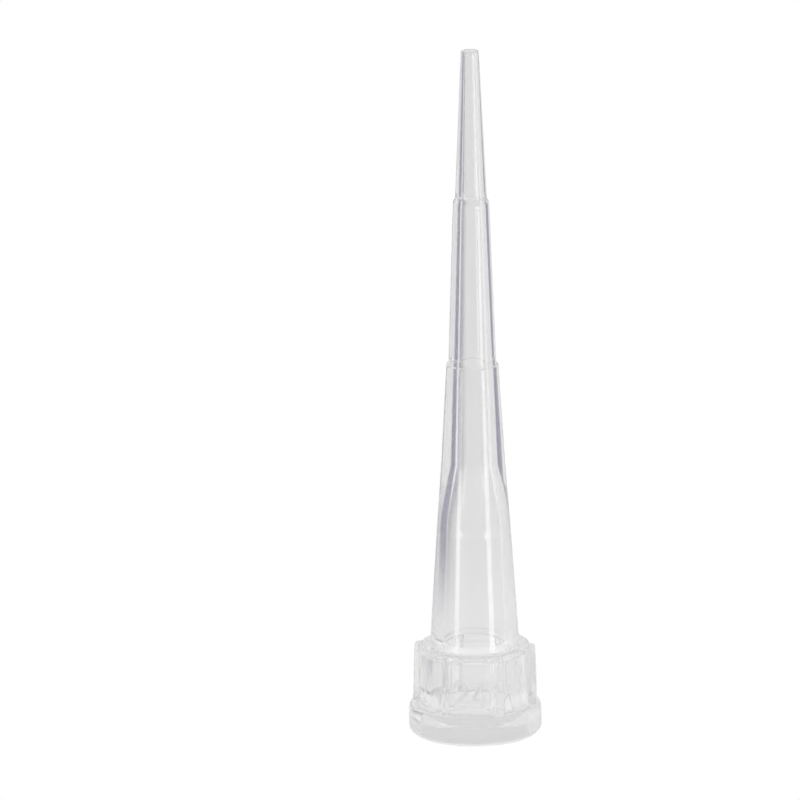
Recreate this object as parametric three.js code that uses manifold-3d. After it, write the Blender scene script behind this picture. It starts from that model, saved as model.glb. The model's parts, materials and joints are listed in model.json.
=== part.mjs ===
// Pipette tip for small volumes, moulded in one piece from clear polypropylene.
//
// The tip stands on its open mouth, which is the flat bottom face at z = 0, and its fine end
// points up +Z. Around the mouth is a flange, above it a collar with six ribs, then a flat
// shoulder and a long cone in four stretches. Two small outside steps divide the cone: they
// are the filling marks. Inside, the nozzle of the pipette enters a tapered socket that ends
// at a sloping ledge, and from the ledge a narrowing bore runs to the fine end. A panel of
// the collar between two ribs faces -Y. All sizes are in millimetres.

import * as THREE from 'three';
import { mergeVertices } from 'three/addons/utils/BufferGeometryUtils.js';
import Module from 'manifold-3d';

// Overall length, and the heights that are set from the mouth upwards.
const tipLength = 32;
const flangeHeight = 1.0;
const collarHeight = 4.1;
const ledgeDrop = 0.43;
const ledgeHeight = 0.71;

// Lengths that are set from the fine end downwards, because the marks stand for a volume.
const upperStepLength = 7.0;
const lowerStepLength = 14.6;
const fineBoreLength = 19.4;
const steepBoreLength = 2.7;

// The socket, and the walls and lips that are built outwards from it.
const socketRadius = 1.91;
const socketFlare = 0.12;
const mouthOpening = 0.45;
const mouthDepth = 0.85;
const leadInHeight = 1.0;
const collarWall = 0.6;
const panelFillet = 0.12;
const flangeWall = 0.56;
const flangeRoundWidth = 0.17;
const flangeRoundHeight = 0.38;
const flangeBottomRound = 0.34;
const mouthEdgeChamfer = 0.04;

// The bore, from the ledge to the fine end. It widens by a hair just above each mark.
const ledgeRadius = 1.43;
const steepBoreRadius = 1.24;
const fineBoreRadius = 0.745;
const orificeRadius = 0.25;
const boreStep = 0.02;
const boreStepLead = 0.22;

// The outside of the cone. Each step stands proud of the stretch above it.
const footWall = 0.62;
const chamberWall = 0.43;
const kinkWall = 0.723;
const lowerStepRadius = 1.09;
const lowerStepProud = 0.095;
const upperStepRadius = 0.722;
const upperStepProud = 0.1;
const upperStepSlope = 0.18;
const fineEndWall = 0.155;
const stepRound = 0.05;
const fineEndRound = 0.03;

// The ribs on the collar.
const ribCount = 6;
const ribRootWidth = 0.62;
const ribCrestWidth = 0.46;
const ribTopDepth = 0.26;
const ribBottomDepth = 0.35;
const ribRound = 0.12;

// How finely the round forms are divided: an arc gets twice arcDivisions chords.
const aroundCount = 72;
const arcDivisions = 2;

// How far a cutter runs past the face that it opens.
const cutterOverrun = 1;

// Heights and radii that follow from the sizes above.
const upperStepHeight = tipLength - upperStepLength;
const lowerStepHeight = tipLength - lowerStepLength;
const kinkHeight = tipLength - fineBoreLength;
const socketDepth = collarHeight - ledgeDrop;
const leadInTop = mouthDepth + leadInHeight;
const leadInRadius = socketRadius + socketFlare;
const mouthRadius = leadInRadius + mouthOpening;
const flangeRadius = mouthRadius + flangeWall;
const flangeTop = flangeHeight + flangeRoundHeight;
const collarRadius = socketRadius + collarWall;
const steepBoreFoot = kinkHeight - steepBoreLength;
const footRadius = ledgeRadius + footWall;
const chamberTopRadius = steepBoreRadius + chamberWall;
const kinkRadius = fineBoreRadius + kinkWall;
const fineEndRadius = orificeRadius + fineEndWall;
const quarterTurn = Math.PI / 2;

const wasm = await Module();
wasm.setup();

// A closed geometry as a solid. Triangles that shrink to a line at a pole are left out.
function toSolid(geometry) {
  const bare = geometry.clone();
  bare.deleteAttribute('normal');
  bare.deleteAttribute('uv');
  const merged = mergeVertices(bare, 1e-5);
  const corners = merged.index.array;
  const triangles = [];
  for (let first = 0; first < corners.length; first += 3) {
    const [a, b, c] = corners.slice(first, first + 3);
    if (a !== b && b !== c && c !== a) {
      triangles.push(a, b, c);
    }
  }
  return new wasm.Manifold(new wasm.Mesh({
    numProp: 3,
    vertProperties: new Float32Array(merged.attributes.position.array),
    triVerts: new Uint32Array(triangles),
  }));
}

function toGeometry(solid) {
  const mesh = solid.getMesh();
  const geometry = new THREE.BufferGeometry();
  geometry.setAttribute('position', new THREE.BufferAttribute(mesh.vertProperties, 3));
  geometry.setIndex(new THREE.BufferAttribute(mesh.triVerts, 1));
  geometry.computeVertexNormals();
  return geometry;
}

// An outline of radius across and height up, turned about the upright axis. It starts on the
// axis below, goes round the outside and ends on the axis above.
function turned(outline) {
  const lathe = new THREE.LatheGeometry(outline.getPoints(arcDivisions), aroundCount);
  return toSolid(lathe.rotateX(quarterTurn));
}

// The outside without its ribs: flange, collar, shoulder, and the cone with its two marks.
function outsideSolid() {
  const outline = new THREE.Path();
  outline.moveTo(0, 0);
  outline.lineTo(flangeRadius - flangeBottomRound, 0);
  outline.absarc(flangeRadius - flangeBottomRound, flangeBottomRound, flangeBottomRound,
    -quarterTurn, 0, false);
  outline.absellipse(flangeRadius - flangeRoundWidth, flangeHeight, flangeRoundWidth,
    flangeRoundHeight, 0, quarterTurn, false, 0);
  outline.absarc(collarRadius + panelFillet, flangeTop + panelFillet, panelFillet,
    -quarterTurn, -2 * quarterTurn, true);
  outline.absarc(collarRadius - stepRound, collarHeight - stepRound, stepRound,
    0, quarterTurn, false);
  outline.lineTo(footRadius, collarHeight);
  outline.lineTo(chamberTopRadius, steepBoreFoot);
  outline.lineTo(kinkRadius, kinkHeight);
  outline.absarc(lowerStepRadius + lowerStepProud - stepRound, lowerStepHeight - stepRound,
    stepRound, 0, quarterTurn, false);
  outline.lineTo(lowerStepRadius, lowerStepHeight);
  outline.lineTo(upperStepRadius + upperStepProud, upperStepHeight);
  outline.lineTo(upperStepRadius, upperStepHeight + upperStepSlope);
  outline.absarc(fineEndRadius - fineEndRound, tipLength - fineEndRound, fineEndRound,
    0, quarterTurn, false);
  outline.lineTo(0, tipLength);
  return turned(outline);
}

// The radius of the fine bore at a height, where it has passed so many of its small steps.
function fineBoreAt(height, stepsPassed) {
  const taper = (fineBoreRadius - orificeRadius - 2 * boreStep) / fineBoreLength;
  return orificeRadius + taper * (tipLength - height) + boreStep * stepsPassed;
}

// The hollow: mouth, lead-in, socket, ledge, chamber, steep cone and fine bore.
function hollowSolid() {
  const leadInBend = (mouthOpening ** 2 + leadInHeight ** 2) / (2 * mouthOpening);
  const leadInSweep = Math.asin(leadInHeight / leadInBend);
  const lowerBoreStep = lowerStepHeight + boreStepLead;
  const upperBoreStep = upperStepHeight + boreStepLead;
  const outline = new THREE.Path();
  outline.moveTo(0, -cutterOverrun);
  outline.lineTo(mouthRadius + mouthEdgeChamfer, -cutterOverrun);
  outline.lineTo(mouthRadius + mouthEdgeChamfer, 0);
  outline.lineTo(mouthRadius, mouthEdgeChamfer);
  outline.absarc(leadInRadius + leadInBend, leadInTop, leadInBend,
    Math.PI + leadInSweep, Math.PI, true);
  outline.lineTo(socketRadius, socketDepth);
  outline.lineTo(ledgeRadius, socketDepth + ledgeHeight);
  outline.lineTo(steepBoreRadius, steepBoreFoot);
  outline.lineTo(fineBoreRadius, kinkHeight);
  outline.lineTo(fineBoreAt(lowerBoreStep, 2), lowerBoreStep);
  outline.lineTo(fineBoreAt(lowerBoreStep, 1), lowerBoreStep + boreStep);
  outline.lineTo(fineBoreAt(upperBoreStep, 1), upperBoreStep);
  outline.lineTo(fineBoreAt(upperBoreStep, 0), upperBoreStep + boreStep);
  outline.lineTo(orificeRadius, tipLength);
  outline.lineTo(orificeRadius, tipLength + cutterOverrun);
  outline.lineTo(0, tipLength + cutterOverrun);
  return turned(outline);
}

// A rib before it is trimmed: an upright bar that narrows outwards and points along +X.
function ribBar() {
  const narrowing = (ribRootWidth - ribCrestWidth) / 2 / ribBottomDepth;
  const reach = flangeRadius;
  const halfRoot = ribRootWidth / 2;
  const halfReach = halfRoot - narrowing * (reach - collarRadius);
  const section = new THREE.Shape();
  section.moveTo(socketRadius, -halfRoot);
  section.lineTo(collarRadius, -halfRoot);
  section.lineTo(reach, -halfReach);
  section.lineTo(reach, halfReach);
  section.lineTo(collarRadius, halfRoot);
  section.lineTo(socketRadius, halfRoot);
  section.closePath();
  const bar = new THREE.ExtrudeGeometry(section, { depth: tipLength, bevelEnabled: false });
  return toSolid(bar);
}

// What trims the ribs: a leaning crest that starts in the flange, round at the shoulder.
function ribEnvelope() {
  const outline = new THREE.Path();
  outline.moveTo(0, flangeHeight);
  outline.lineTo(collarRadius + ribBottomDepth, flangeHeight);
  outline.absarc(collarRadius + ribTopDepth - ribRound, collarHeight - ribRound, ribRound,
    0, quarterTurn, false);
  outline.lineTo(0, collarHeight);
  return turned(outline);
}

function tipSolid() {
  const bar = ribBar();
  const envelope = ribEnvelope();
  let tip = outsideSolid();
  for (let index = 0; index < ribCount; index += 1) {
    const turn = (360 * index) / ribCount;
    tip = tip.add(bar.rotate([0, 0, turn]).intersect(envelope));
  }
  return tip.subtract(hollowSolid());
}

const clearPlastic = new THREE.MeshStandardMaterial({
  color: 0xe6e8ea,
  roughness: 0.12,
  metalness: 0,
  transparent: true,
  opacity: 0.45,
});

const pipetteTip = new THREE.Mesh(toGeometry(tipSolid()), clearPlastic);
pipetteTip.name = 'tip_body';

const part = new THREE.Group();
part.add(pipetteTip);

export default part;
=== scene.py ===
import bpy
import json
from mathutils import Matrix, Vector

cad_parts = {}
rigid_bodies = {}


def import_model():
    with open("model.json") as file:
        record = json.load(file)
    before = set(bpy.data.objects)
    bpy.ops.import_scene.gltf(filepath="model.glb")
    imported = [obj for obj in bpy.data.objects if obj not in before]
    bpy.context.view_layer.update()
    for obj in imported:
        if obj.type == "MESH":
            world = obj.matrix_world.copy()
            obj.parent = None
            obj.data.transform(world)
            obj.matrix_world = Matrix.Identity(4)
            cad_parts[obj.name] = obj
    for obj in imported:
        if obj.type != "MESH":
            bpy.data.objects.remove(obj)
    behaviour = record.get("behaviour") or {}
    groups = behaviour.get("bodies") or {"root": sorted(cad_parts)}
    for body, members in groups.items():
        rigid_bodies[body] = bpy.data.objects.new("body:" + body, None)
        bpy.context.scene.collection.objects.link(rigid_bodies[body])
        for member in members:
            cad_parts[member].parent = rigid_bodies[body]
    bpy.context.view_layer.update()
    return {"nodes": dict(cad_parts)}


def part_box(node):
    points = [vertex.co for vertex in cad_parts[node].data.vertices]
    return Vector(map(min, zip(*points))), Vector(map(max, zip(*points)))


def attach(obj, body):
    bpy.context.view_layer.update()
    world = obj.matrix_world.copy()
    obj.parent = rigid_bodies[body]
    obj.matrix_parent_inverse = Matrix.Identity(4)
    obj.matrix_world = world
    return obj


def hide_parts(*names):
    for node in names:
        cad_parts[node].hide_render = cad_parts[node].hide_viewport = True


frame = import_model()

import json
import math

import bmesh
import bpy
from mathutils import Matrix, Vector

mm = 0.001
print("frame loaded:", sorted(frame["nodes"]))


tipLow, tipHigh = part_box("tip_body")

tipBody = {
    "length": (tipHigh.z - tipLow.z) / mm,
    "flangeRadius": (tipHigh.x - tipLow.x) / 2 / mm,
    "bottomRound": 0.34,  # round edge that the tip stands on
    "flangeHeight": 1.0,  # where the upright wall of the flange ends
    "flangeRoundWidth": 0.17,
    "flangeRoundHeight": 0.38,
    "panelRadius": 2.51,
    "panelFillet": 0.12,
    "ribTopRadius": 2.77,
    "ribFootRadius": 2.852,
    "ribRound": 0.12,
    "shoulderHeight": 4.1,
    "shoulderRound": 0.05,
    "footRadius": 2.05,
    "footFillet": 0.06,
    "chamberTopHeight": 9.9,
    "chamberTopRadius": 1.67,
    "kinkHeight": 12.6,
    "kinkRadius": 1.468,
    "lowerStepHeight": 17.4,
    "lowerStepRadius": 1.09,
    "lowerStepProud": 0.095,
    "upperStepHeight": 25.0,
    "upperStepRadius": 0.722,
    "upperStepProud": 0.1,
    "upperStepSlope": 0.18,
    "stepRound": 0.05,
    "fineEndRadius": 0.405,
    "fineEndRound": 0.03,
    "orificeRadius": 0.25,
    "boreStep": 0.02,
    "boreStepLead": 0.22,
    "fineBoreRadius": 0.745,
    "steepBoreRadius": 1.24,
    "ledgeTopHeight": 4.38,
    "ledgeTopRadius": 1.43,
    "ledgeFootHeight": 3.67,
    "socketRadius": 1.91,
    "leadInTop": 1.85,
    "leadInRadius": 2.03,
    "mouthDepth": 0.85,
    "mouthRadius": 2.48,
    "mouthEdge": 0.04,
    "ribCount": 6,
    "stepsPerRib": 56,
    "ribCrestWidth": 0.46,
    "ribRootWidth": 0.62,
    "ribEdgeSoftness": 0.5,  # degrees by which the rib's edges are eased
    "holdWidth": 0.012,  # keeps the shading of a round edge on that edge
}


def roundedCorner(before, corner, after, trimIn, trimOut, steps):
    # a smooth arc between two straight runs, which leaves them at the two trims
    inward = (before - corner).normalized() * trimIn
    outward = (after - corner).normalized() * trimOut
    points = []
    for step in range(steps + 1):
        angle = math.pi / 2 * step / steps
        points.append(corner + inward * (1 - math.sin(angle)) + outward * (1 - math.cos(angle)))
    return points


def roundedOutline(corners, holdWidth):
    # corners are (radius, height, trim in, trim out, steps); the outline closes on itself
    arcs = []
    for index, (radius, height, trimIn, trimOut, steps) in enumerate(corners):
        before = Vector(corners[index - 1][:2])
        after = Vector(corners[(index + 1) % len(corners)][:2])
        arcs.append(roundedCorner(before, Vector((radius, height)), after, trimIn, trimOut, steps))
    outline = []
    for index, arc in enumerate(arcs):
        nextStart = arcs[(index + 1) % len(arcs)][0]
        run = nextStart - arc[-1]
        outline += arc
        hold = min(holdWidth, run.length / 3)
        outline.append(arc[-1] + run.normalized() * hold)
        outline.append(nextStart - run.normalized() * hold)
    return outline


def tipCorners(size, underRib):
    # one half section, outside upwards and inside downwards; underRib gives the section at a rib
    bore = size["boreStep"]
    fineTaper = (size["fineBoreRadius"] - size["orificeRadius"] - 2 * bore)
    fineTaper /= size["length"] - size["kinkHeight"]

    def fineBore(height, passed):
        return size["orificeRadius"] + fineTaper * (size["length"] - height) + bore * passed

    lowerBoreStep = size["lowerStepHeight"] + size["boreStepLead"]
    upperBoreStep = size["upperStepHeight"] + size["boreStepLead"]
    flangeTop = size["flangeHeight"] + size["flangeRoundHeight"]
    wallFoot = size["ribFootRadius"] if underRib else size["panelRadius"]
    wallTop = size["ribTopRadius"] if underRib else size["panelRadius"]
    fillet = 0.004 if underRib else size["panelFillet"]
    topRound = size["ribRound"] if underRib else size["shoulderRound"]
    roundWidth = 0.01 if underRib else size["flangeRoundWidth"]
    leadBend = 0.45
    return [
        (size["flangeRadius"], 0, size["bottomRound"], size["bottomRound"], 8),
        (size["flangeRadius"], flangeTop, size["flangeRoundHeight"], size["flangeRoundWidth"], 8),
        (wallFoot, flangeTop, fillet, fillet, 5),
        (wallTop, size["shoulderHeight"], topRound, topRound, 5),
        (size["footRadius"], size["shoulderHeight"], size["footFillet"], size["footFillet"], 4),
        (size["chamberTopRadius"], size["chamberTopHeight"], 0.8, 0.8, 4),
        (size["kinkRadius"], size["kinkHeight"], 0.15, 0.15, 4),
        (size["lowerStepRadius"] + size["lowerStepProud"], size["lowerStepHeight"],
            size["stepRound"], size["stepRound"], 5),
        (size["lowerStepRadius"], size["lowerStepHeight"], 0.02, 0.02, 3),
        (size["upperStepRadius"] + size["upperStepProud"], size["upperStepHeight"], 0.05, 0.05, 4),
        (size["upperStepRadius"], size["upperStepHeight"] + size["upperStepSlope"], 0.05, 0.05, 4),
        (size["fineEndRadius"], size["length"], size["fineEndRound"], size["fineEndRound"], 5),
        (size["orificeRadius"], size["length"], 0.015, 0.015, 3),
        (fineBore(upperBoreStep, 0), upperBoreStep + bore, 0.008, 0.008, 2),
        (fineBore(upperBoreStep, 1), upperBoreStep, 0.008, 0.008, 2),
        (fineBore(lowerBoreStep, 1), lowerBoreStep + bore, 0.008, 0.008, 2),
        (fineBore(lowerBoreStep, 2), lowerBoreStep, 0.008, 0.008, 2),
        (size["fineBoreRadius"], size["kinkHeight"], 0.12, 0.12, 4),
        (size["steepBoreRadius"], size["chamberTopHeight"], 0.5, 0.5, 6),
        (size["ledgeTopRadius"], size["ledgeTopHeight"], 0.1, 0.06, 5),
        (size["socketRadius"], size["ledgeFootHeight"], 0.06, 0.08, 5),
        (size["leadInRadius"], size["leadInTop"], 0.25, 0.25, 5),
        (size["mouthRadius"], size["mouthDepth"], leadBend, 0.25, 6),
        (size["mouthRadius"], 0, size["mouthEdge"], size["mouthEdge"], 3),
    ]


def outlineObject(name, size):
    # a loop of points in the XZ plane; each point also carries its twin at a rib
    panel = roundedOutline(tipCorners(size, False), size["holdWidth"])
    rib = roundedOutline(tipCorners(size, True), size["holdWidth"])
    mesh = bpy.data.meshes.new(name)
    places = [(point.x * mm, 0, point.y * mm) for point in panel]
    links = [(index, (index + 1) % len(places)) for index in range(len(places))]
    mesh.from_pydata(places, links, [])
    twin = mesh.attributes.new("ribPoint", "FLOAT_VECTOR", "POINT")
    twin.data.foreach_set("vector", [part for point in rib for part in (point.x * mm, 0, point.y * mm)])
    piece = bpy.data.objects.new(name, mesh)
    bpy.context.scene.collection.objects.link(piece)
    return piece


class TreeMaker:
    # short words for adding nodes and links to one Geometry Nodes tree
    def __init__(self, name):
        self.tree = bpy.data.node_groups.new(name, "GeometryNodeTree")
        self.tree.interface.new_socket("Geometry", in_out="INPUT", socket_type="NodeSocketGeometry")
        self.tree.interface.new_socket("Geometry", in_out="OUTPUT", socket_type="NodeSocketGeometry")
        self.inputs = self.tree.nodes.new("NodeGroupInput")
        self.outputs = self.tree.nodes.new("NodeGroupOutput")

    def addInput(self, name, kind, value):
        socket = self.tree.interface.new_socket(name, in_out="INPUT", socket_type=kind)
        socket.default_value = value
        return socket.identifier

    def node(self, kind, **settings):
        made = self.tree.nodes.new(kind)
        for key, value in settings.items():
            setattr(made, key, value)
        return made

    def link(self, source, target):
        self.tree.links.new(source, target)

    def feed(self, made, *sources):
        # links or sets the node's inputs in order; None leaves one as it is
        for socket, source in zip([s for s in made.inputs if s.enabled], sources):
            if source is None:
                continue
            if isinstance(source, bpy.types.NodeSocket):
                self.link(source, socket)
            else:
                socket.default_value = source
        return made.outputs[0]

    def math(self, operation, *sources):
        return self.feed(self.node("ShaderNodeMath", operation=operation), *sources)

    def named(self, name, kind):
        made = self.node("GeometryNodeInputNamedAttribute", data_type=kind)
        made.inputs["Name"].default_value = name
        return made.outputs[0]

    def store(self, geometry, name, kind, value):
        made = self.node("GeometryNodeStoreNamedAttribute", data_type=kind, domain="POINT")
        made.inputs["Name"].default_value = name
        self.link(geometry, made.inputs["Geometry"])
        self.link(value, made.inputs["Value"])
        return made.outputs["Geometry"]


def turnedBodyTree():
    # turns an outline round the upright axis, and moves it out to its twin where a rib stands
    maker = TreeMaker("turnedBody")
    names = {
        "Rib Count": maker.addInput("Rib Count", "NodeSocketInt", 6),
        "Steps Per Rib": maker.addInput("Steps Per Rib", "NodeSocketInt", 56),
        "Crest Angle": maker.addInput("Crest Angle", "NodeSocketFloat", 4.6),
        "Root Angle": maker.addInput("Root Angle", "NodeSocketFloat", 7.0),
        "Material": maker.addInput("Material", "NodeSocketMaterial", None),
    }
    given = maker.inputs.outputs
    position = maker.node("GeometryNodeInputPosition").outputs[0]
    kept = maker.store(given["Geometry"], "panelPoint", "FLOAT_VECTOR", position)
    section = maker.node("GeometryNodeMeshToCurve")
    maker.link(kept, section.inputs[0])

    # the path is a circle whose points crowd together where a rib's flanks are
    total = maker.math("MULTIPLY", given["Rib Count"], given["Steps Per Rib"])
    circle = maker.node("GeometryNodeCurvePrimitiveCircle", mode="RADIUS")
    maker.link(total, circle.inputs["Resolution"])
    circle.inputs["Radius"].default_value = 1.0
    index = maker.node("GeometryNodeInputIndex").outputs[0]
    share = maker.math("DIVIDE", index, given["Steps Per Rib"])
    sector = maker.math("FLOOR", share, None)
    within = maker.math("FRACT", share, None)
    crowd = maker.node("ShaderNodeFloatCurve")
    maker.link(within, crowd.inputs["Value"])
    line = crowd.mapping.curves[0]
    for place, point in enumerate(((0, 0), (0.22, 0.37), (0.36, 0.432), (0.5, 0.5),
                                   (0.64, 0.568), (0.78, 0.63), (1, 1))):
        if place in (0, 6):
            spot = line.points[0 if place == 0 else 1]
        else:
            spot = line.points.new(*point)
        spot.handle_type = "VECTOR"
        if place in (0, 6):
            spot.location = point
    crowd.mapping.update()
    local = maker.math("SUBTRACT", crowd.outputs[0], 0.5)
    turns = maker.math("DIVIDE", maker.math("ADD", sector, local), given["Rib Count"])
    angle = maker.math("MULTIPLY", turns, 2 * math.pi)
    offRib = maker.math("ABSOLUTE", maker.math("DIVIDE", local, given["Rib Count"]), None)
    offRibDegrees = maker.math("MULTIPLY", offRib, 360)
    path = maker.store(circle.outputs["Curve"], "turn", "FLOAT", angle)
    path = maker.store(path, "offRib", "FLOAT", offRibDegrees)

    sweep = maker.node("GeometryNodeCurveToMesh")
    maker.link(path, sweep.inputs["Curve"])
    maker.link(section.outputs[0], sweep.inputs["Profile Curve"])

    # how much of the rib shows at this angle, from 1 on its crest to 0 beside it
    ribShare = maker.node("ShaderNodeMapRange", interpolation_type="SMOOTHSTEP")
    maker.link(maker.named("offRib", "FLOAT"), ribShare.inputs["Value"])
    maker.link(given["Crest Angle"], ribShare.inputs["From Min"])
    maker.link(given["Root Angle"], ribShare.inputs["From Max"])
    ribShare.inputs["To Min"].default_value = 1.0
    ribShare.inputs["To Max"].default_value = 0.0
    mixed = maker.node("ShaderNodeMix", data_type="VECTOR")
    maker.link(ribShare.outputs[0], mixed.inputs["Factor"])
    maker.link(maker.named("panelPoint", "FLOAT_VECTOR"), mixed.inputs[4])
    maker.link(maker.named("ribPoint", "FLOAT_VECTOR"), mixed.inputs[5])
    parts = maker.node("ShaderNodeSeparateXYZ")
    maker.link(mixed.outputs[1], parts.inputs[0])
    turn = maker.named("turn", "FLOAT")
    across = maker.math("MULTIPLY", parts.outputs["X"], maker.math("COSINE", turn, None))
    along = maker.math("MULTIPLY", parts.outputs["X"], maker.math("SINE", turn, None))
    place = maker.node("ShaderNodeCombineXYZ")
    maker.feed(place, across, along, parts.outputs["Z"])
    placed = maker.node("GeometryNodeSetPosition")
    maker.link(sweep.outputs[0], placed.inputs["Geometry"])
    maker.link(place.outputs[0], placed.inputs["Position"])

    outward = maker.node("GeometryNodeFlipFaces")  # the sweep leaves the faces pointing in
    maker.link(placed.outputs[0], outward.inputs["Mesh"])
    smooth = maker.node("GeometryNodeSetShadeSmooth")
    maker.link(outward.outputs[0], smooth.inputs["Geometry"])
    real = maker.node("GeometryNodeRealizeInstances")
    maker.link(smooth.outputs[0], real.inputs[0])
    painted = maker.node("GeometryNodeSetMaterial")
    maker.link(real.outputs[0], painted.inputs["Geometry"])
    maker.link(given["Material"], painted.inputs["Material"])
    maker.link(painted.outputs[0], maker.outputs.inputs[0])
    return maker.tree, names


class ShaderMaker:
    # short words for adding nodes and links to one shader tree
    def __init__(self, tree):
        self.nodes, self.links = tree.nodes, tree.links

    def node(self, kind, **settings):
        made = self.nodes.new(kind)
        for key, value in settings.items():
            setattr(made, key, value)
        return made

    def link(self, source, target):
        self.links.new(source, target)

    def give(self, socket, source):
        if isinstance(source, bpy.types.NodeSocket):
            self.link(source, socket)
        else:
            socket.default_value = source

    def math(self, operation, *sources):
        made = self.node("ShaderNodeMath", operation=operation)
        for socket, source in zip(made.inputs, sources):
            self.give(socket, source)
        return made.outputs[0]

    def ramp(self, value, fromMin, fromMax, toMin, toMax):
        # an eased run from one value to another
        made = self.node("ShaderNodeMapRange", interpolation_type="SMOOTHSTEP")
        for socket, source in zip(made.inputs, (value, fromMin, fromMax, toMin, toMax)):
            self.give(socket, source)
        return made.outputs[0]

    def noise(self, place, stretch, detail, seed):
        # an even noise around 0.5, with its own cell size along each axis, in metres
        moved = self.node("ShaderNodeMapping")
        self.link(place, moved.inputs["Vector"])
        moved.inputs["Location"].default_value = (seed, seed * 1.7, seed * 2.3)
        moved.inputs["Scale"].default_value = [1 / size for size in stretch]
        made = self.node("ShaderNodeTexNoise", noise_dimensions="3D")
        self.link(moved.outputs[0], made.inputs["Vector"])
        made.inputs["Scale"].default_value = 1.0
        made.inputs["Detail"].default_value = detail
        return made.outputs["Fac"]


plasticFinish = {
    "color": (0.985, 0.985, 0.985, 1),
    "ior": 1.5,
    "transmission": 1.0,
    "polish": 0.02,  # roughness of the best polished places
    "worn": 0.05,  # and of the dullest
    "milkRoughness": 0.8,  # the milky grains in the plastic, far too fine to be seen one by one
    "coneMilk": 0.12,  # the grains' share in the cone
    "collarMilk": 0.2,  # and in the thick collar
    "milkFrom": 3.9 * mm,  # heights between which the one goes over into the other
    "milkTo": 5.2 * mm,
    "cloudSize": (0.9 * mm, 0.9 * mm, 1.8 * mm),
    "cloudDepth": 0.12,  # by how much of itself the milkiness changes from place to place
    "flowSize": (0.16 * mm, 0.16 * mm, 4.5 * mm),  # streaks that the melt leaves along the tip
    "flowDepth": 0.0004 * mm,
    "toolSize": (9 * mm, 9 * mm, 0.05 * mm),  # rings that the turned mould leaves
    "toolDepth": 0.0002 * mm,
    "speckSize": 0.75 * mm,
    "speckWidth": 0.04,  # as a share of the speck size
    "speckDullness": 0.25,
}


def clearPlastic(name, finish):
    material = bpy.data.materials.new(name)
    material.use_nodes = True
    maker = ShaderMaker(material.node_tree)
    shader = maker.nodes["Principled BSDF"]
    shader.inputs["Base Color"].default_value = finish["color"]
    shader.inputs["IOR"].default_value = finish["ior"]
    shader.inputs["Transmission Weight"].default_value = finish["transmission"]
    place = maker.node("ShaderNodeTexCoord").outputs["Object"]
    height = maker.node("ShaderNodeSeparateXYZ")
    maker.link(place, height.inputs[0])

    # polish differs from place to place, and fine specks are dull
    clouds = maker.noise(place, finish["cloudSize"], 3.0, 1.0)
    flow = maker.noise(place, finish["flowSize"], 2.0, 2.0)
    tool = maker.noise(place, finish["toolSize"], 1.0, 3.0)
    speck = maker.node("ShaderNodeTexVoronoi", feature="F1")
    maker.link(place, speck.inputs["Vector"])
    speck.inputs["Scale"].default_value = 1 / finish["speckSize"]
    spotted = maker.ramp(speck.outputs["Distance"], 0, finish["speckWidth"], finish["speckDullness"], 0)
    streaky = maker.math("MULTIPLY", maker.math("ADD", flow, clouds), 0.5)
    polish = maker.math("ADD", maker.ramp(streaky, 0.35, 0.65, finish["polish"], finish["worn"]), spotted)

    # a share of the light meets a milky grain, more so in the collar
    milk = maker.ramp(height.outputs["Z"], finish["milkFrom"], finish["milkTo"],
                      finish["collarMilk"], finish["coneMilk"])
    depth = finish["cloudDepth"]
    milk = maker.math("MULTIPLY", milk, maker.ramp(clouds, 0.25, 0.75, 1 - depth, 1 + depth))
    chance = maker.node("ShaderNodeTexWhiteNoise", noise_dimensions="3D")
    maker.link(place, chance.inputs["Vector"])
    grain = maker.math("LESS_THAN", chance.outputs["Value"], milk)
    rough = maker.node("ShaderNodeMix", data_type="FLOAT")
    maker.link(grain, rough.inputs["Factor"])
    maker.link(polish, rough.inputs[2])
    rough.inputs[3].default_value = finish["milkRoughness"]
    maker.link(rough.outputs[0], shader.inputs["Roughness"])

    rings = maker.node("ShaderNodeBump")
    rings.inputs["Distance"].default_value = finish["toolDepth"]
    maker.link(tool, rings.inputs["Height"])
    streaks = maker.node("ShaderNodeBump")
    streaks.inputs["Distance"].default_value = finish["flowDepth"]
    maker.link(flow, streaks.inputs["Height"])
    maker.link(rings.outputs[0], streaks.inputs["Normal"])
    maker.link(streaks.outputs[0], shader.inputs["Normal"])
    return material


def plainMesh(piece, name):
    # what the modifiers make, as a mesh of its own at the origin
    graph = bpy.context.evaluated_depsgraph_get()
    mesh = bpy.data.meshes.new_from_object(piece.evaluated_get(graph))
    piece.modifiers.clear()
    piece.data = mesh
    piece.name = name
    mesh.name = name
    return piece


def makeTipBody(size):
    piece = outlineObject("tipOutline", size)
    tree, names = turnedBodyTree()
    turned = piece.modifiers.new("turned", "NODES")
    turned.node_group = tree
    softness = size["ribEdgeSoftness"]
    crestRadius = (size["ribTopRadius"] + size["ribFootRadius"]) / 2
    turned[names["Rib Count"]] = size["ribCount"]
    turned[names["Steps Per Rib"]] = size["stepsPerRib"]
    turned[names["Crest Angle"]] = math.degrees(size["ribCrestWidth"] / 2 / crestRadius) - softness
    turned[names["Root Angle"]] = math.degrees(size["ribRootWidth"] / 2 / size["panelRadius"]) + softness
    turned[names["Material"]] = clearPlastic("clearPolypropylene", plasticFinish)
    plainMesh(piece, "fine_tip_body")
    for name in ("panelPoint", "ribPoint", "turn", "offRib"):
        piece.data.attributes.remove(piece.data.attributes[name])
    return piece


mouldedNumber = {
    "foot": 1.75,  # height where the digits stand, on the panel that faces the front
    "digitHeight": 1.22,
    "digitWidth": 0.6,
    "gap": 0.26,
    "strokeRadius": 0.1,  # a stroke is a round bar, sunk until this much of it is proud
    "proud": 0.05,
    "barSides": 4,
    "step": 0.03,  # longest piece of a stroke, so that it can bend round the panel
    "sharpAngle": 35,  # where a stroke meets the panel the shading breaks
    "milk": 0.55,  # the digits are matt, as moulded figures are
}


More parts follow.
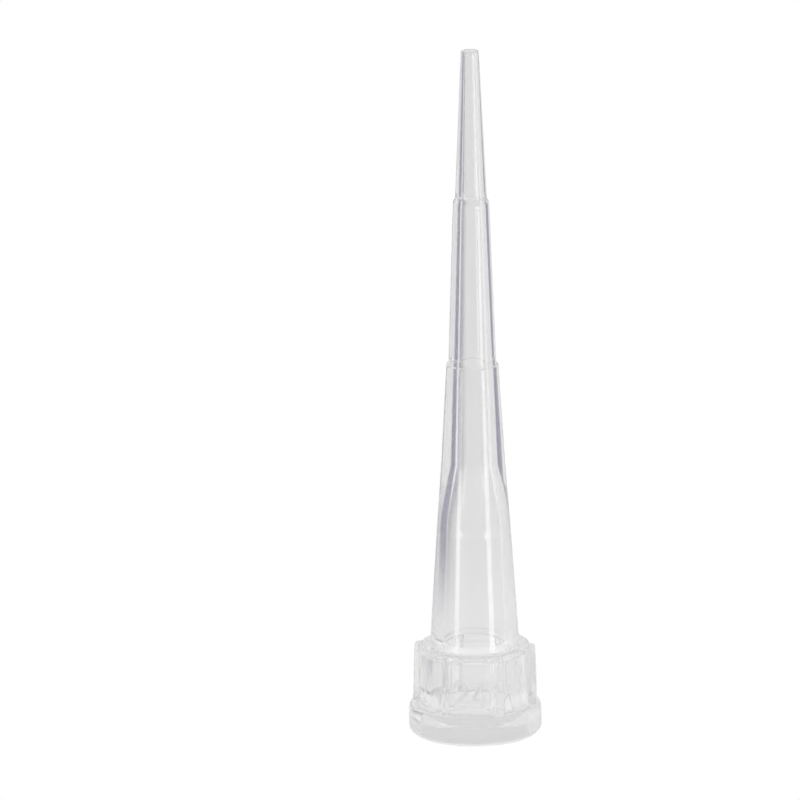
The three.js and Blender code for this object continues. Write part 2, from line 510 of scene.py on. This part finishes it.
def strokesOfTwo(steps=14):
    # on a digit that is one unit high and one wide
    crown = [math.radians(165 - 215 * step / steps) for step in range(steps + 1)]
    bow = [(0.5 + 0.5 * math.cos(angle), 0.72 + 0.28 * math.sin(angle)) for angle in crown]
    return [bow + [(0.0, 0.0), (1.0, 0.0)]]


def strokesOfFour():
    return [[(0.72, 1.0), (0.0, 0.3), (1.0, 0.3)], [(0.74, 1.0), (0.74, 0.0)]]


def shortSteps(points, longest):
    # the same path with a point at least this often
    path = [Vector(points[0])]
    for point in map(Vector, points[1:]):
        start = path[-1]
        count = math.ceil((point - start).length / longest)
        path += [start.lerp(point, (index + 1) / count) for index in range(count)]
    return path


def strokeBar(name, points, size, panelRadius):
    # a round bar along one stroke, bent round the panel
    data = bpy.data.curves.new(name, "CURVE")
    data.dimensions = "3D"
    data.bevel_depth = size["strokeRadius"]
    data.bevel_resolution = size["barSides"]
    data.use_fill_caps = True
    line = data.splines.new("POLY")
    path = shortSteps(points, size["step"])
    line.points.add(len(path) - 1)
    for spot, point in zip(line.points, path):
        spot.co = (point.x, 0, point.y, 1)
    piece = bpy.data.objects.new(name, data)
    bpy.context.scene.collection.objects.link(piece)
    graph = bpy.context.evaluated_depsgraph_get()
    mesh = bpy.data.meshes.new_from_object(piece.evaluated_get(graph))
    bpy.data.objects.remove(piece)
    middle = panelRadius + size["proud"] - size["strokeRadius"]
    for vertex in mesh.vertices:
        angle = vertex.co.x / panelRadius
        radius = middle - vertex.co.y
        vertex.co = Vector((radius * math.sin(angle), -radius * math.cos(angle), vertex.co.z)) * mm
    return mesh


def addNumber(piece, size, panelRadius):
    # the two moulded digits, one solid with the tip
    width, height = size["digitWidth"], size["digitHeight"]
    left = -(2 * width + size["gap"]) / 2
    strokes = []
    for digit in (strokesOfTwo(), strokesOfFour()):
        strokes += [[(left + x * width, size["foot"] + y * height) for x, y in path] for path in digit]
        left += width + size["gap"]
    matt = dict(plasticFinish, collarMilk=size["milk"], coneMilk=size["milk"])
    piece.data.materials.append(clearPlastic("mattPolypropylene", matt))
    bars = bpy.data.collections.new("strokes")
    for index, points in enumerate(strokes):
        mesh = strokeBar("stroke" + str(index), points, size, panelRadius)
        for material in piece.data.materials:
            mesh.materials.append(material)
        mesh.polygons.foreach_set("material_index", [1] * len(mesh.polygons))
        mesh.shade_smooth()
        bars.objects.link(bpy.data.objects.new(mesh.name, mesh))
    bpy.context.scene.collection.children.link(bars)
    join = piece.modifiers.new("number", "BOOLEAN")
    join.operation = "UNION"
    join.operand_type = "COLLECTION"
    join.collection = bars
    join.solver = "EXACT"
    plainMesh(piece, piece.name)
    for bar in list(bars.objects):
        bpy.data.objects.remove(bar)
    bpy.data.collections.remove(bars)
    markRims(piece.data, size, panelRadius)
    return piece


def markRims(mesh, size, panelRadius):
    # breaks the shading where a stroke leaves the panel
    shape = bmesh.new()
    shape.from_mesh(mesh)
    top = (size["foot"] + size["digitHeight"] + size["strokeRadius"]) * mm
    foot = (size["foot"] - size["strokeRadius"]) * mm
    for edge in shape.edges:
        middle = (edge.verts[0].co + edge.verts[1].co) / 2
        onPanel = middle.y < 0 and foot < middle.z < top
        if onPanel and edge.calc_face_angle(0) > math.radians(size["sharpAngle"]):
            if middle.xy.length > (panelRadius - 0.01) * mm and abs(middle.x) < size["digitHeight"] * mm:
                edge.smooth = False
    shape.to_mesh(mesh)
    shape.free()


tip = makeTipBody(tipBody)
print("tip body made:", len(tip.data.vertices), "points,", len(tip.data.polygons), "faces")
addNumber(tip, mouldedNumber, tipBody["panelRadius"])
print("number moulded on:", len(tip.data.vertices), "points,", len(tip.data.polygons), "faces")
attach(tip, "root")
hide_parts("tip_body")


studio = {
    "floorSize": 4.0,
    "white": 1.0,  # floor and backdrop, as the camera sees them
    "tableGlow": 0.84,  # the table close to the tip, as the plastic sees it
    "paintedFootShadow": 0.68,  # painted shadow: right under the tip the table glows dimmer, as if less light came there
    "footNear": 2.4 * mm,
    "footFar": 5 * mm,
    "tableNear": 14 * mm,
    "tableFar": 32 * mm,
    "roomLight": 0.34,  # the room where no light or shade stands
    # bearing (degrees to the right of straight behind the tip), half width, fade on each side,
    # strength, and the angle above the horizon where it starts
    "lights": {
        "ahead": (25, 31, 18, 0.45, -90),
        "right side": (86, 16, 16, 0.55, -90),
        "right wall": (104, 14, 28, 0.4, -13.5),
        "front window": (134, 4, 6, 5.0, -13.5),
        "behind": (180, 40, 30, 0.32, -90),
        "left wall": (-125, 22, 30, 0.5, -13.5),
        "left lamp": (-131, 3.5, 5, 5.0, -10),
        "left side": (-77, 11, 10, 0.6, -90),
    },
    "lightTop": -5.0,  # a light that has a start ends here
    "edgeSoftness": 0.8,
    "shades": {
        "left": (-43, 13, 12, 0.36),
    },
    "shadeTint": (0.76, 0.83, 1.8),
    "lightTint": (1.0, 0.99, 0.995),
    "ceiling": 1.02,  # even light from above
    "ceilingFrom": 0.0,  # angle above the horizon between which it takes over
    "ceilingTo": 12.0,
}

cameraSeat = {
    "turn": 7.1,  # degrees round the tip, from straight in front towards the right
    "tiltDown": 15.24,
    "roll": -0.594,
    "back": 450 * mm,
    "side": -3.31 * mm,
    "height": 138.3 * mm,
    "lens": 460.8,
    "sensor": 36.0,
}


def makeCamera(seat):
    data = bpy.data.cameras.new("camera")
    data.lens = seat["lens"]
    data.sensor_width = seat["sensor"]
    data.clip_start = 0.01
    data.clip_end = 20
    camera = bpy.data.objects.new("camera", data)
    bpy.context.scene.collection.objects.link(camera)
    bpy.context.scene.camera = camera
    around = Matrix.Rotation(math.radians(seat["turn"]), 4, "Z")
    tilt = Matrix.Rotation(math.radians(90 - seat["tiltDown"]), 4, "X")
    roll = Matrix.Rotation(math.radians(seat["roll"]), 4, "Z")
    stand = Matrix.Translation((seat["side"], -seat["back"], seat["height"]))
    camera.matrix_world = around @ stand @ tilt @ roll
    return camera


def makeFloor(settings):
    half = settings["floorSize"] / 2
    low = -0.02 * mm  # just under the tip, so that the two faces don't flicker
    mesh = bpy.data.meshes.new("floor")
    mesh.from_pydata([(-half, -half, low), (half, -half, low), (half, half, low), (-half, half, low)],
                     [], [(0, 1, 2, 3)])
    floor = bpy.data.objects.new("floor", mesh)
    bpy.context.scene.collection.objects.link(floor)
    material = bpy.data.materials.new("paleFloor")
    material.use_nodes = True
    maker = ShaderMaker(material.node_tree)
    maker.nodes.clear()
    place = maker.node("ShaderNodeTexCoord")
    length = maker.node("ShaderNodeVectorMath", operation="LENGTH")
    maker.link(place.outputs["Object"], length.inputs[0])
    near = maker.ramp(length.outputs["Value"], settings["tableNear"], settings["tableFar"], 1, 0)
    seen = maker.node("ShaderNodeEmission")
    seen.inputs["Strength"].default_value = settings["white"]
    table = maker.node("ShaderNodeEmission")
    # the table patch glows dimmer right under the tip: a painted contact shadow that the plastic sees
    glow = maker.ramp(length.outputs["Value"], settings["footNear"], settings["footFar"],
                      settings["paintedFootShadow"], settings["tableGlow"])
    maker.link(glow, table.inputs["Strength"])
    clear = maker.node("ShaderNodeBsdfTransparent")
    patch = maker.node("ShaderNodeMixShader")
    maker.link(near, patch.inputs[0])
    maker.link(clear.outputs[0], patch.inputs[1])
    maker.link(table.outputs[0], patch.inputs[2])
    ray = maker.node("ShaderNodeLightPath")
    mix = maker.node("ShaderNodeMixShader")
    maker.link(ray.outputs["Is Camera Ray"], mix.inputs[0])
    maker.link(patch.outputs[0], mix.inputs[1])
    maker.link(seen.outputs[0], mix.inputs[2])
    end = maker.node("ShaderNodeOutputMaterial")
    maker.link(mix.outputs[0], end.inputs["Surface"])
    mesh.materials.append(material)
    return floor


def makeWorld(settings, turn):
    # a soft room of lights and shades round the tip, and a white backdrop for the camera
    world = bpy.data.worlds.new("studio")
    bpy.context.scene.world = world
    world.use_nodes = True
    maker = ShaderMaker(world.node_tree)
    maker.nodes.clear()
    place = maker.node("ShaderNodeTexCoord")
    parts = maker.node("ShaderNodeSeparateXYZ")
    maker.link(place.outputs["Generated"], parts.inputs[0])
    bearing = maker.math("ARCTAN2", parts.outputs["X"], parts.outputs["Y"])
    bearing = maker.math("ADD", maker.math("DEGREES", bearing), turn)
    above = maker.math("DEGREES", maker.math("ARCSINE", parts.outputs["Z"]))
    softness = settings["edgeSoftness"]

    def soft(middle, halfWidth, fade, strength):
        # even over its width, with a soft fade on each side
        off = maker.math("WRAP", maker.math("SUBTRACT", bearing, middle), 180, -180)
        return maker.ramp(maker.math("ABSOLUTE", off), halfWidth, halfWidth + fade, strength, 0)

    bright = settings["roomLight"]
    for *shape, start in settings["lights"].values():
        light = soft(*shape)
        if start > -90:
            top = settings["lightTop"]
            light = maker.math("MULTIPLY", light, maker.ramp(above, start - softness, start + softness, 0, 1))
            light = maker.math("MULTIPLY", light, maker.ramp(above, top - softness, top + softness, 1, 0))
        bright = maker.math("ADD", light, bright)
    for shade in settings["shades"].values():
        bright = maker.math("MULTIPLY", bright, maker.math("SUBTRACT", 1, soft(*shade)))
    up = maker.node("ShaderNodeMix", data_type="FLOAT")
    maker.link(maker.ramp(above, settings["ceilingFrom"], settings["ceilingTo"], 0, 1), up.inputs["Factor"])
    maker.link(bright, up.inputs[2])
    up.inputs[3].default_value = settings["ceiling"]
    bright = up.outputs[0]

    tint = maker.node("ShaderNodeMix", data_type="RGBA")
    maker.link(maker.ramp(bright, 0.08, 0.34, 0, 1), tint.inputs["Factor"])
    tint.inputs[6].default_value = (*settings["shadeTint"], 1)
    tint.inputs[7].default_value = (*settings["lightTint"], 1)
    glow = maker.node("ShaderNodeBackground")
    maker.link(tint.outputs[2], glow.inputs["Color"])
    maker.link(bright, glow.inputs["Strength"])
    plain = maker.node("ShaderNodeBackground")
    plain.inputs["Color"].default_value = (1, 1, 1, 1)
    plain.inputs["Strength"].default_value = settings["white"]
    ray = maker.node("ShaderNodeLightPath")
    mix = maker.node("ShaderNodeMixShader")
    maker.link(ray.outputs["Is Camera Ray"], mix.inputs[0])
    maker.link(glow.outputs[0], mix.inputs[1])
    maker.link(plain.outputs[0], mix.inputs[2])
    end = maker.node("ShaderNodeOutputWorld")
    maker.link(mix.outputs[0], end.inputs["Surface"])
    return world


def letLightThrough(settings, bounces):
    # light is caught in the ribs and the shoulder for many bounces before it comes out
    settings.max_bounces = bounces
    settings.diffuse_bounces = bounces
    settings.glossy_bounces = bounces
    settings.transmission_bounces = bounces


makeCamera(cameraSeat)
makeFloor(studio)
makeWorld(studio, cameraSeat["turn"])
bpy.context.scene.view_settings.view_transform = "Standard"
letLightThrough(bpy.context.scene.cycles, 40)
print("studio made")
